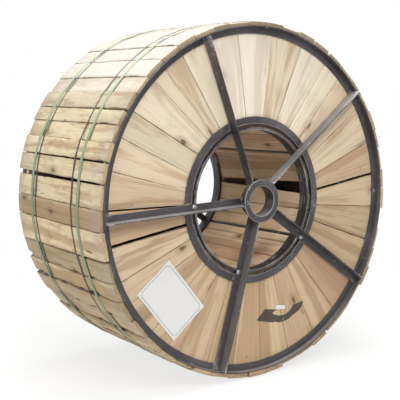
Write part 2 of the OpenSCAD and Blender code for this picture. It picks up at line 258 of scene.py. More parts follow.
class Nodes:
    """A node tree that is written as sums on sockets."""

    def __init__(self, tree):
        self.tree = tree
        tree.nodes.clear()

    def put(self, socket, value):
        if isinstance(value, Sock):
            self.tree.links.new(value.out, socket)
        elif value is not None:
            if socket.type == "RGBA" and len(value) == 3:
                value = (*value, 1.0)
            socket.default_value = value

    def put_named(self, made, values):
        for key, value in values.items():
            self.put(made.inputs[key.replace("_", " ")], value)

    def node(self, kind, settings=None, *values, out=0, **named):
        """Adds a node: its settings first, then its sockets by place or by name."""
        made = self.tree.nodes.new(kind)
        for key, value in (settings or {}).items():
            setattr(made, key, value)
        for socket, value in zip(made.inputs, values):
            self.put(socket, value)
        self.put_named(made, named)
        return Sock(self, made.outputs[out]) if made.outputs else None

    def place(self):
        return self.node("ShaderNodeTexCoord", out="Object")

    def facing(self):
        return self.split(self.node("ShaderNodeNewGeometry", out="Normal"))

    def own(self, name, out="Vector"):
        return self.node("ShaderNodeAttribute", {"attribute_name": name}, out=out)

    def split(self, vector):
        x = self.node("ShaderNodeSeparateXYZ", None, vector)
        return x, x.also("Y"), x.also("Z")

    def join(self, x, y, z):
        return self.node("ShaderNodeCombineXYZ", None, x, y, z)

    def noise(self, vector, scale, detail, rough=0.5):
        return self.node("ShaderNodeTexNoise", None, Vector=vector,
                         Scale=scale, Detail=detail, Roughness=rough)

    def cells(self, x, y):
        """Scattered spots: the distance to the nearest one, and three random numbers of its own."""
        far = self.node("ShaderNodeTexVoronoi", {"voronoi_dimensions": "2D"},
                        Vector=self.join(x, y, 0.0), Scale=1.0)
        return far, self.split(far.also("Color"))

    def mix(self, share, a, b, blend="MIX"):
        """Two colours mixed, which are the Mix node's seventh and eighth sockets."""
        kind = {"data_type": "RGBA", "blend_type": blend}
        return self.node("ShaderNodeMix", kind, share, *[None] * 5, a, b, out=2)

    def shade(self, tint, amount):
        """A colour made lighter or darker by a number."""
        return self.node("ShaderNodeVectorMath", {"operation": "SCALE"}, Vector=tint, Scale=amount)

    def looked_at(self):
        """1 on rays from the camera, from metal and through glass, which show the backdrop white."""
        camera = self.node("ShaderNodeLightPath", out="Is Camera Ray")
        return camera.high(camera.also("Is Glossy Ray")).high(camera.also("Is Transmission Ray"))


class Finish(Nodes):
    """A material with one main shader."""

    def __init__(self, name):
        self.material = bpy.data.materials.new(name)
        self.material.use_nodes = True
        super().__init__(self.material.node_tree)
        self.output = self.tree.nodes.new("ShaderNodeOutputMaterial")
        self.shader = self.tree.nodes.new("ShaderNodeBsdfPrincipled")
        self.put(self.output.inputs[0], Sock(self, self.shader.outputs[0]))

    def finish(self, tint, rough, metal, height, strength, depth, specular=0.5):
        bump = self.node("ShaderNodeBump", None, Strength=strength, Distance=depth, Height=height)
        self.put_named(self.shader, {
            "Base Color": tint, "Roughness": rough, "Metallic": metal,
            "Specular IOR Level": specular, "Normal": bump})
        return self.material


def scaled(tint, amount):
    """A plain colour made lighter or darker."""
    return tuple(min(1.0, v * amount) for v in tint)


def beyond(x, z, corners):
    """How far a point lies outside a convex outline in millimetres, its corners anticlockwise."""
    worst = None
    for (ax, az), (bx, bz) in zip(corners, corners[1:] + corners[:1]):
        long = math.hypot(bx - ax, bz - az)
        nx, nz = (bz - az) / long, (ax - bx) / long
        side = x * (nx * 1000) + z * (nz * 1000) - (nx * ax + nz * az)
        worst = side if worst is None else worst.high(side)
    return worst


def rolling_sign(f):
    """A bent arrow sprayed through a stencil, which shows the way to roll the drum."""
    x, _, z = f.split(f.place())
    px, pz = x * 1000 - BOW_X, z * 1000 - BOW_Z
    shape = abs((px * px + pz * pz).root() - BOW_RADIUS) - BOW_HALF
    shape = shape.high(px * 0.52 + pz * 0.85).high(pz * 0.574 - px * 0.819)
    for part in SIGN_PARTS:
        shape = shape.low(beyond(x, z, part))
    ragged = (f.noise(f.place(), 160, 2) - 0.5) * 3
    shape = (shape + ragged).ramp(1.0, -0.6)
    thin = f.noise(f.place(), 60, 3).ramp(0.22, 0.42)
    return shape * (0.74 + 0.2 * thin)


def wood(name, light=1.0, pink=1.0, weather=0.0, ends=None, sign=False, painted_shade_back=None):
    """Sawn softwood: sap and heartwood in wavy bands, fibres, knots and stains."""
    c = bpy.context.scene.drum_colours
    f = Finish(name)
    x, y, z = f.split(f.own("grain"))
    tone, heart, seed = f.split(f.own("plank"))
    side, along, warm = f.split(f.own("part"))
    shift = seed * 41
    own = f.join(x, y, z + shift)

    def drawn(fx, fy, third, detail, rough=0.5):
        """Noise that is drawn out along the grain."""
        return f.noise(f.join(x * fx + shift, y * fy, third), 1.0, detail, rough)

    # Knots, and the grain that flows round them
    spot, lot = f.cells(x * 5.2 + shift, y * 9.5 + shift * 0.7)
    kept = lot[0].ramp(0.78 - 0.18 * weather, 0.80 - 0.18 * weather)
    near = spot + (f.noise(f.join(x * 40, y * 160, shift), 1.0, 3) - 0.5) * 0.12
    knot = near.ramp(0.078, 0.048) * kept
    halo = near.ramp(0.24, 0.03) * kept
    swirl = ((near * 120).sine() * 0.5 + 0.5) * halo
    # Heartwood lies in a band with a wavy edge; the band may fall beside the plank
    wavy = (drawn(3.0, 10, shift, 2) - 0.5) * 0.060 + (drawn(13, 34, shift, 2) - 0.5) * 0.016
    from_pith = abs(y - (heart - 0.5) * 0.12 + wavy + halo * 0.008)
    core = (from_pith - (seed * 0.055 - 0.012)).ramp(0.006, -0.006)
    # Growth rings cut lengthwise: lines that bow with the band's edge
    rings = ((from_pith * 1250 + z * 500 + (tone - 0.5) * x * 60).sine() * 0.5 + 0.5) ** 2.0
    fibre = drawn(9, 520, z * 520, 3, 0.65)
    streak = drawn(1.4, 48, z * 48, 5, 0.66)
    thread = drawn(4, 240, z * 240, 3, 0.6)
    cloud = drawn(2.6, 20, shift, 4, 0.6)
    body = f.mix(tone.ramp(0.30, 0.80) * pink, c.heartwood, c.pinkwood)
    pale = f.mix(warm.high(0.0), c.sapwood, c.tanwood)
    pale = f.mix(heart.ramp(0.48, 0.85) * 0.65, pale, body)
    tint = f.mix(core * 0.80, pale, body)
    figure = (
        (cloud.ramp(0.49, 0.62) * 0.70, 1.05),
        (rings * (0.05 + 0.12 * core), 0.70),
        (streak.ramp(0.50, 0.74) * 0.55, 0.62),
        (thread.ramp(0.55, 0.75) * 0.34, 0.58),
        (halo * 0.38, 0.68),
        (swirl * 0.45, 0.42))
    for share, depth in figure:
        tint = f.mix(share, tint, f.shade(body, depth))
    tint = f.mix(knot * 0.85, tint, c.knot)
    # Top planks go pale: partly sun bleaching, partly painted top light
    bleach_and_top_light = warm.ramp(0.0, -1.0)
    clean = 1.0 - 0.75 * bleach_and_top_light
    tint = f.mix(bleach_and_top_light * 0.90, tint, c.bleached_and_lit)
    # Each plank has a tone of its own, which also holds painted light and shade by where the plank faces,
    # and dust has marked it
    plank_tone_and_light = f.own("shade", "Fac")
    tint = f.shade(tint, (plank_tone_and_light + (fibre - 0.5) * 0.30) * light)
    dirt = f.noise(f.place(), 6.5, 6, 0.65).ramp(0.54, 0.74)
    tint = f.mix(dirt * clean * (0.22 + 0.2 * weather), tint, DIRT)
    specks = f.noise(own, 95, 4, 0.7).ramp(0.66, 0.76)
    tint = f.mix(specks * (0.32 + 0.38 * weather), tint, SPECK)
    crack = abs(drawn(2.6, 26, shift, 2) - 0.5).ramp(0.012, 0.003)
    crack = crack * drawn(5, 12, shift + 3.0, 2).ramp(0.58, 0.66)
    tint = f.mix(crack * (0.45 + 0.35 * weather), tint, CRACK)
    if weather == 1.0:
        yellowed = f.mix(1.0, tint, (0.99, 1.0, 0.92), "MULTIPLY")
        tint = f.mix(warm.ramp(-0.25, 0.2), tint, yellowed)
        mottle = f.noise(f.join(x * 26, y * 95, z * 95 + shift), 1.0, 4, 0.7)
        tint = f.shade(tint, 1.0 + (mottle - 0.5) * 0.44)
    if weather:
        # Grey ends, dark blots, and a line of bark along some edges, darker and wider towards the bottom
        # as painted seam shade
        blotch = f.noise(own, 30, 5, 0.65)
        worn = (abs(along - 0.5) * 2 + (blotch - 0.5) * 0.70).ramp(0.70, 1.05)
        tint = f.mix(worn * clean * (0.55 * weather), tint, GREYED)
        blots = drawn(6, 21, shift + 7.0, 5, 0.72).ramp(0.53, 0.68)
        tint = f.mix(blots * clean * (0.62 * weather), tint, BLOT)
        # Painted shade in the seams, stronger towards the bottom
        low_seam_shade = f.split(f.place())[2].ramp(-0.05, -0.30)
        patches = f.noise(f.join(x * 7 + shift, shift, 0.0), 1.0, 2) + low_seam_shade * 0.10
        bark = (abs(side) + (blotch - 0.5) * 0.9).ramp(0.86, 1.12) * patches.ramp(0.50, 0.62)
        tint = f.mix(bark * (0.70 + 0.2 * low_seam_shade) * weather, tint, f.mix(low_seam_shade, BARK, BARK_IN_PAINTED_SHADE))
    pin, lot = f.cells(x * 9 + shift, y * 9)
    holes = pin.ramp(0.026, 0.016) * lot[1].ramp(0.80, 0.82)
    tint = f.mix(holes * 0.8, tint, PINHOLE)
    if ends:
        sawn = abs(f.facing()[1]).ramp(0.55, 0.85)
        saw = f.noise(f.place(), 300, 3)
        burn = f.noise(f.place(), 38, 4).ramp(0.45, 0.65)
        grain = f.shade(ends, 0.80 + 0.4 * rings + (saw - 0.5) * 0.9 + (plank_tone_and_light - 0.9) * 1.5)
        grain = f.mix(burn * 0.45, grain, f.shade(ends, 0.35))
        tint = f.mix(sawn * 0.85, tint, grain)
    # Painted shade: the outer part of each stave, which lies under the lagging and lines its gaps, is
    # darkened
    if painted_shade_back:
        tint = f.shade(tint, 1.0 - 0.9 * z.ramp(painted_shade_back * 0.6, painted_shade_back * 0.95))
    if sign:
        tint = f.mix(rolling_sign(f), tint, c.stencil)
    height = fibre * 0.6 - rings * 0.2 - holes * 2.0 + knot * 0.4
    return f.finish(tint, 0.70 + (fibre - 0.5) * 0.25, 0.0, height, 0.35, 0.0008, 0.25)


def steel_paint(name):
    """Thin grey paint on rolled steel, worn bright along its edges, where a painted highlight is added
    too; painted light on faces turned up and left, painted shade inside the barrel.
    """
    c = bpy.context.scene.drum_colours
    f = Finish(name)
    at = f.place()
    mottle = f.noise(at, 9, 4, 0.6)
    fine = f.noise(at, 130, 3, 0.6)
    tint = f.mix(mottle.ramp(0.3, 0.7), scaled(c.steel, 0.78), scaled(c.steel, 1.25))
    x, y, z = f.split(at)
    radius, out = (x * x + z * z).root(), abs(y) - FACE
    # Bright lines along the edges: partly worn bare metal, partly painted highlight
    point = f.node("ShaderNodeNewGeometry", out="Pointiness")
    worn_edge_highlight = (point + (fine - 0.5) * 0.10 + (mottle - 0.5) * 0.10).ramp(0.53, 0.60) * out.ramp(-0.006, 0.0)
    uneven = (fine - 0.5) * 0.006 + (mottle - 0.5) * 0.010
    patchy = f.noise(at, 11, 3).ramp(0.44, 0.60)
    hub_face = out.ramp(HUB_TOP - 0.0015, HUB_TOP - 0.0005)
    ring_face = out.ramp(-0.0005, 0.0005) * out.ramp(0.0065, 0.0055)
    lines = (
        (HUB_BORE + 0.0005, uneven * 0.5, 0.0026, 0.0012, hub_face * 0.6),
        (HUB_RADIUS, uneven, 0.0036, 0.0006, hub_face * 0.55),
        (HOOP_IN, uneven, 0.0030, 0.0012, ring_face * (0.25 + 0.75 * patchy)),
        (HOOP_OUT, uneven, 0.0022, 0.0008, ring_face * patchy * 0.6),
        (RING_IN, uneven, 0.0022, 0.0006, ring_face * 0.5))
    for edge, stray_by, far, near, share in lines:
        worn_edge_highlight = worn_edge_highlight.high((abs(radius - edge) + stray_by).ramp(far, near) * share)
    tint = f.mix(worn_edge_highlight * 0.85, tint, c.worn)
    chips = f.noise(at, 46, 3, 0.55).ramp(0.66, 0.72)
    tint = f.mix(chips * 0.55, tint, c.worn)
    rust = f.noise(at, 21, 4, 0.65).ramp(0.62, 0.74)
    tint = f.mix(rust * 0.35, tint, RUST)
    # Dust on what faces up, together with painted top light; painted light on what faces left
    dust = f.noise(at, 4, 5, 0.6).ramp(0.48, 0.75)
    facing = f.facing()
    up = facing[2].ramp(0.40, 1.0) * out.ramp(0.003, 0.008)
    left = facing[0].ramp(-0.75, -0.98) * facing[2].ramp(-0.10, 0.10) * out.ramp(0.008, 0.014)
    tint = f.mix(left * (0.75 + (mottle - 0.5)), tint, PAINTED_SIDE_LIGHT)
    tint = f.mix(dust * 0.14 + up * (0.50 + 0.5 * (mottle - 0.5)), tint, STEEL_DUST_AND_TOP_LIGHT)
    # Painted shade: hoops and rods inside the barrel are darkened, with scratches round the hoops
    shaded_bore = out.ramp(0.0035, 0.0025) * radius.ramp(0.15, 0.16)
    shaded_bore = shaded_bore * radius.ramp(HOOP_OUT + 0.006, HOOP_OUT + 0.004)
    tint = f.mix(shaded_bore * (1.0 - worn_edge_highlight) * 0.75, tint, BORE_PAINTED_SHADE)
    scratch = f.noise(f.join(z.turn(x) * 6, abs(y) * 300, 0.0), 1.0, 3, 0.6).ramp(0.53, 0.60)
    scratch = scratch * patchy * radius.ramp(HOOP_IN - 0.002, HOOP_IN - 0.0008)
    tint = f.mix(shaded_bore * scratch * 0.65, tint, c.worn)
    rough = 0.46 + (fine - 0.5) * 0.24 + rust * 0.2
    return f.finish(tint, rough, worn_edge_highlight * 0.5, fine * 0.5 + mottle * 0.3 - chips * 0.4, 0.22, 0.0006)


def zinc(name):
    """Zinc on small fasteners."""
    c = bpy.context.scene.drum_colours
    f = Finish(name)
    at = f.place()
    bloom = f.noise(at, 260, 3, 0.6)
    tint = f.mix(bloom.ramp(0.35, 0.7), scaled(c.zinc, 0.72), c.zinc)
    spots = f.noise(at, 95, 3).ramp(0.62, 0.74)
    tint = f.mix(spots * 0.5, tint, ZINC_STAIN)
    return f.finish(tint, 0.36 + (bloom - 0.5) * 0.3, 0.85, bloom, 0.15, 0.0004)


def strap_plastic(name):
    """Green strapping with a pressed diamond pattern that runs along it."""
    c = bpy.context.scene.drum_colours
    f = Finish(name)
    x, y, z = f.split(f.place())
    along = z.turn(x) * RIM_RADIUS
    pitch = 2 * math.pi / 0.0042
    press = ((along + y) * pitch).sine() * ((along - y) * pitch).sine()
    cloudy = f.noise(f.join(along * 6, y * 120, 0.0), 1.0, 3)
    tint = f.mix(cloudy.ramp(0.3, 0.7), scaled(c.strap, 0.84), scaled(c.strap, 1.16))
    tint = f.mix(press.ramp(0.2, 0.9) * 0.22, tint, STRAP_SHINE)
    dust = f.noise(f.place(), 7, 4).ramp(0.55, 0.75)
    tint = f.mix(dust * 0.2, tint, STRAP_DUST)
    # Painted light and shade: lighter and paler on top, darker below
    tint = f.shade(tint, 0.68 + 0.32 * z.ramp(-0.05, 0.22) + 0.20 * z.ramp(0.22, 0.45))
    tint = f.mix(z.ramp(0.25, 0.50) * 0.40, tint, STRAP_PAINTED_TOP_LIGHT)
    return f.finish(tint, 0.40 + (cloudy - 0.5) * 0.2, 0.0, press, 0.5, 0.0004)


def band_steel(name):
    """Blued steel band with worn streaks; painted light makes it paler on top."""
    c = bpy.context.scene.drum_colours
    f = Finish(name)
    x, y, z = f.split(f.place())
    along = z.turn(x) * RIM_RADIUS
    streak = f.noise(f.join(along * 5, y * 900, 0.0), 1.0, 3)
    tint = f.mix(streak.ramp(0.55, 0.8) * 0.5, c.band, BAND_RUBBED)
    # Painted light: paler towards the top
    tint = f.mix(z.ramp(0.15, 0.50) * 0.65, tint, BAND_PAINTED_TOP_LIGHT)
    return f.finish(tint, 0.42 + (streak - 0.5) * 0.2, 0.5, streak, 0.15, 0.0003)


def sheet_paper(name):
    """White paper with a thin plain border that curves in at its corners."""
    c = bpy.context.scene.drum_colours
    s = bpy.context.scene.drum_sizes
    f = Finish(name)
    x, y, _ = f.split(f.own("paper"))
    flat = f.join(x, y, 0.0)
    px, py = abs(x), abs(y)
    inset = (s.sheet_long / 2 - px).low(s.sheet_short / 2 - py)
    line = (abs(inset - SHEET_MARGIN) - 0.0009).ramp(0.0005, -0.0002)
    corner_x, corner_y = s.sheet_long / 2 - SHEET_MARGIN, s.sheet_short / 2 - SHEET_MARGIN
    corner = ((px - corner_x) ** 2.0 + (py - corner_y) ** 2.0).root()
    notch = (abs(corner - SHEET_MARGIN) - 0.0007).ramp(0.0004, -0.0002)
    notch = notch * inset.ramp(SHEET_MARGIN - 0.0004, SHEET_MARGIN + 0.0004)
    line = (line * corner.ramp(SHEET_MARGIN - 0.0005, SHEET_MARGIN + 0.0003)).high(notch)
    fleck = f.noise(flat, 900, 2)
    worn = f.noise(flat, 14, 4).ramp(0.5, 0.75)
    tint = f.mix((fleck - 0.4) * 0.1, c.paper, PAPER_FLECK)
    tint = f.mix(worn * 0.18, tint, PAPER_STAIN)
    tint = f.mix(line * 0.85, tint, PAPER_LINE)
    return f.finish(tint, 0.58, 0.0, f.noise(flat, 22, 3), 0.25, 0.002)


def clear():
    """Object mode with nothing selected."""
    if bpy.context.object is not None and bpy.context.object.mode != "OBJECT":
        bpy.ops.object.mode_set(mode="OBJECT")
    bpy.ops.object.select_all(action="DESELECT")


def edit_all():
    """Edit mode with the whole mesh selected."""
    bpy.ops.object.mode_set(mode="EDIT")
    bpy.ops.mesh.select_mode(type="VERT")
    bpy.ops.mesh.select_all(action="SELECT")


def face_out():
    """Points all faces of the active mesh outwards and stays in edit mode."""
    edit_all()
    bpy.ops.mesh.normals_make_consistent(inside=False)


def pick(test, kind="verts"):
    """In edit mode, selects the elements that pass a test and nothing else."""
    mesh = bpy.context.object.data
    bpy.ops.mesh.select_mode(type={"verts": "VERT", "edges": "EDGE"}[kind])
    bpy.ops.mesh.select_all(action="DESELECT")
    b = bmesh.from_edit_mesh(mesh)
    for element in getattr(b, kind):
        if test(element):
            element.select_set(True)
    b.select_flush_mode()
    bmesh.update_edit_mesh(mesh)


def named(name):
    """The active object, renamed."""
    made = bpy.context.object
    made.name = made.data.name = name
    return made


def outline(name, points, width):
    """A flat face with its corners on the given points and rounded; it stays in edit mode."""
    clear()
    bpy.ops.mesh.primitive_circle_add(vertices=len(points), radius=0.01, fill_type="NGON")
    made = named(name)
    for corner, point in zip(made.data.vertices, points):
        corner.co = point
    edit_all()
    bpy.ops.mesh.bevel(affect="VERTICES", offset=width, segments=3)
    edit_all()
    return made


def smooth(made, degrees=32):
    """Shades a piece smooth, but for edges sharper than an angle."""
    clear()
    made.select_set(True)
    bpy.context.view_layer.objects.active = made
    bpy.ops.object.shade_smooth_by_angle(angle=math.radians(degrees))


def rolled(name, profile, width, steps):
    """A ring rolled from a section, given as radius and place along the axis."""
    made = outline(name, [(r, y, 0) for r, y in profile], width)
    bpy.ops.mesh.delete(type="ONLY_FACE")
    edit_all()
    bpy.ops.mesh.spin(steps=steps, angle=2 * math.pi, center=(0, 0, 0), axis=(0, 1, 0))
    edit_all()
    bpy.ops.mesh.remove_doubles(threshold=0.00001)
    face_out()
    smooth(made)
    return made


def copy_of(made, name, matrix):
    """A copy with a mesh of its own, its place in the mesh."""
    other = made.copy()
    other.data = made.data.copy()
    other.name = other.data.name = name
    bpy.context.scene.collection.objects.link(other)
    other.data.transform(matrix)
    if matrix.determinant() < 0:
        other.data.flip_normals()
    return other


def fused(pieces, name):
    """Several objects joined as one."""
    clear()
    for piece in pieces:
        piece.select_set(True)
    bpy.context.view_layer.objects.active = pieces[0]
    bpy.ops.object.join()
    return named(name)


def settle(made, material, slot, *nodes):
    """Gives a piece its finish, puts it under the root body and hides the parts that it replaces."""
    made.data.materials.clear()
    made.data.materials.append(material)
    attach(made, "root")
    if nodes:
        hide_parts(*nodes)


def drop_moulds(*moulds):
    """Takes away shapes that were only copied from."""
    for mould in moulds:
        bpy.data.objects.remove(mould)


# Flange frame: x right, y up, z outboard from the boards' outer face
MIRROR = Matrix.Scale(-1, 4, (0, 1, 0))
AT_FRONT = Matrix.Translation((0, -FACE, 0)) @ Matrix.Rotation(math.pi / 2, 4, "X")
SIDES = (("front", AT_FRONT, 0), ("back", MIRROR @ AT_FRONT, BACK_TURN))


def turned(degrees):
    """A turn in the flange, anticlockwise from outside."""
    return Matrix.Rotation(math.radians(degrees), 4, "Z")


def polar(radius, degrees, off=0.0):
    """A point of the flange at a radius and an angle, moved sideways by off."""
    a = math.radians(degrees)
    return Vector((radius * math.cos(a) - off * math.sin(a), radius * math.sin(a) + off * math.cos(a), 0))


def around(a):
    """At an angle round the drum, the ways outwards and sideways."""
    return Vector((math.cos(a), 0, math.sin(a))), Vector((-math.sin(a), 0, math.cos(a)))


def plank_mould(name, long_cuts, wide_cuts):
    """One plank of unit size, cut across and along so that it can warp."""
    clear()
    bpy.ops.mesh.primitive_cube_add(size=1, location=(0, 0, 0))
    made = named(name)
    bpy.ops.object.mode_set(mode="EDIT")
    for axis, cuts in enumerate((long_cuts, wide_cuts)):
        pick(lambda e: abs(e.verts[0].co[axis] - e.verts[1].co[axis]) > 0.5, "edges")
        bpy.ops.mesh.subdivide(number_cuts=cuts)
    clear()
    return made


def plank(mould, key, size, where, brown, warm, shade, hue):
    """A copy of the mould whose points where(u, v, w) sets in place.

    Of these, u runs along the plank and w through it, both from 0 to 1, and v across it from -1 to 1.
    """
    made = copy_of(mould, "plank", Matrix.Identity(4))
    mesh = made.data
    for name in ("grain", "plank", "part"):
        mesh.attributes.new(name, "FLOAT_VECTOR", "POINT")
    mesh.attributes.new("shade", "FLOAT", "POINT")
    grain, own, part, tone = (mesh.attributes[name].data for name in ("grain", "plank", "part", "shade"))
    long, wide, thick = size
    for i, point in enumerate(mesh.vertices):
        u, v, w = point.co.x + 0.5, point.co.y * 2, point.co.z + 0.5
        grain[i].vector = (u * long, v * wide / 2, w * thick)
        own[i].vector = (chance(key, 1), hue, chance(key, 3) * brown)
        tone[i].value = shade
        part[i].vector = (v, u, warm)
        point.co = where(u, v, w)
    return made


def planked(groups, piece, node, material, slot):
    """Joins each group of planks as one piece, with slightly rounded edges, and settles it."""
    for k, group in enumerate(groups):
        made = fused(group, f"{piece}_{k + 1}")
        rounding = made.modifiers.new("edges", "BEVEL")
        rounding.width, rounding.segments = bpy.context.scene.drum_sizes.plank_edge, 2
        rounding.limit_method, rounding.angle_limit = "ANGLE", math.radians(50)
        bpy.ops.object.modifier_apply(modifier=rounding.name)
        face_out()
        smooth(made, 35)
        settle(made, material, slot, f"{node}_{k + 1}")


def wave(key, u, k=0):
    """A slow wander along a plank's edge, from -1 to 1."""
    return (math.sin(u * (3 + 4 * chance(key, 11 + k)) + 6.3 * chance(key, 12 + k))
            + 0.5 * math.sin(u * (11 + 5 * chance(key, 13 + k)) + 6.3 * chance(key, 14 + k))) / 1.5


def stray(key, u, v):
    """How far a plank's long edge strays from a straight line; each edge has a wave of its own."""
    return v * wave(key, u, 3 if v > 0 else 7) * bpy.context.scene.drum_sizes.plank_wander


class DRUM_OT_boards(bpy.types.Operator):
    """Radial boards of both flanges, each tapered between two uneven seams"""
    bl_idname = "drum.boards"
    bl_label = "Flange boards"

    def execute(self, context):
        mould = plank_mould("board_mould", 12, 5)
        foot, far = BOARD_FOOT, RIM_RADIUS - BOARD_ROOM
        finishes = {"front": wood("boards_front", sign=True), "back": wood("boards_back")}
        for side, frame_of, _ in SIDES:
            front = side == "front"
            seams = FRONT_SEAMS if front else BACK_SEAMS
            count = len(seams)
            groups = [[] for _ in range(BOARD_GROUPS)]
            for i in range(count):
                a, b = seams[i], seams[(i + 1) % count]
                if i + 1 == count:
                    b = (b[0] + 360, b[1] + 360, b[2])
                key = i + (0 if front else 200)
                shut_a, shut_b = (TIGHT_SHARE if front and k in TIGHT_SEAMS else 1.0 for k in (i, i + 1))
                gap_a, gap_b = a[2] * HALF_MM, -b[2] * HALF_MM
                low = [polar(foot, a[1], gap_a * shut_a), polar(far, a[0], gap_a)]
                top = [polar(foot, b[1], gap_b * shut_b), polar(far, b[0], gap_b)]
                proud = -0.0002 - 0.0012 * chance(key, 4)
                cup = 0.0008 * (chance(key, 5) - 0.5)

                def where(u, v, w):
                    p, q = low[0].lerp(low[1], u), top[0].lerp(top[1], u)
                    point = p.lerp(q, v / 2 + 0.5)
                    if u > 0.99:
                        point *= far / point.length
                    point += (q - p).normalized() * stray(key, u * 6, v)
                    lift = proud + cup * (1 - v * v) - 0.0004 * abs(wave(key, u * 5))
                    point.z = -BOARD_THICK * (1 - w) + lift * w
                    return frame_of @ point

                wide = (low[0].lerp(low[1], 0.5) - top[0].lerp(top[1], 0.5)).length
                middle = math.radians(a[0] + b[0]) / 2
                up, right = math.sin(middle), math.cos(middle)
                # Painted light and shade: boards higher up are paler, lighter and less brown, those on the
                # left less brown, and those lower down and to the right darker; the chance terms give each
                # board a tone of its own
                warm = min(1.0, 0.55 - 0.75 * up + 0.15 * right)
                shade = 0.97 + 0.12 * chance(key, 6) + 0.09 * up - 0.04 * right
                brown = 0.6 if up > 0.3 or right < -0.3 else 1.1
                hue = chance(key, 2) * (0.65 if up > 0.3 else 1.0)
                if front and i in PALE_BOARDS:
                    warm, shade, hue = warm - 0.35, shade + 0.10, 0.3
                if front:
                    shade += BOARD_TONES.get(i, 0.0)
                if front and i in RED_BOARDS:
                    warm, shade, hue, brown = 1.0, RED_BOARDS[i], 0.92, 1.6
                size = (far - foot, wide, BOARD_THICK)
                groups[i * BOARD_GROUPS // count].append(
                    plank(mould, key, size, where, brown, warm, shade, hue))
            planked(groups, f"{side}_planks", f"{side}_boards", finishes[side], "flange_wood")
        drop_moulds(mould)
        return {"FINISHED"}


class DRUM_OT_barrel(bpy.types.Operator):
    """Staves of the barrel between the two flanges, with one wide gap"""
    bl_idname = "drum.barrel"
    bl_label = "Barrel staves"

    def execute(self, context):
        mould = plank_mould("stave_mould", 8, 3)
        inner, thick, long = HOOP_OUT, STAVE_THICK, 2 * (FACE - STAVE_SINK)
        # Stave ends are dark with dirt and painted shade
        ends = context.scene.drum_colours.dirty_shaded_end
        # Painted shade on the outer part of the staves
        finish = wood("barrel", light=1.28, weather=0.5, ends=ends, painted_shade_back=thick)
        count = len(BARREL_SEAMS)
        groups = [[] for _ in range(STAVE_GROUPS)]
        for i in range(count):
            key = 400 + i
            (first, gap_a), (last, gap_b) = BARREL_SEAMS[i], BARREL_SEAMS[(i + 1) % count]
            last += 360 if i + 1 == count else 0
            reach = inner * math.tan(math.radians(last - first) / 2)
            reach_a, reach_b = reach - gap_a * HALF_MM, reach - gap_b * HALF_MM
            out, side_way = around(math.radians(last + first) / 2)

            def where(u, v, w):
                flare = BARREL_FLARE * (0.5 - u) / 2
                low = reach_a - (flare if i == 0 else 0)
                high = reach_b - (flare if i + 1 == count else 0)
                across = (high - low + v * (high + low)) / 2 + stray(key, u * 7, v)
                rise = inner + thick * w - w * 0.0006 * abs(wave(key, u * 4))
                back = (u - 0.5) * long
                across, back = (across * math.cos(SKEW) - back * math.sin(SKEW),
                                across * math.sin(SKEW) + back * math.cos(SKEW))
                return out * rise + side_way * across + Vector((0, back, 0))

            # Painted light: lower staves, whose inner faces turn up, are made lighter; the chance term
            # gives each its own tone
            shade = 0.84 + 0.18 * chance(key, 6) + 0.36 * max(0.0, -out.z)
            size = (long, reach_a + reach_b, thick)
            groups[i * STAVE_GROUPS // count].append(
                plank(mould, key, size, where, 0.8, 0.6, shade, chance(key, 2)))
        planked(groups, "barrel_planks", "barrel_staves", finish, "barrel_wood")
        drop_moulds(mould)
        return {"FINISHED"}


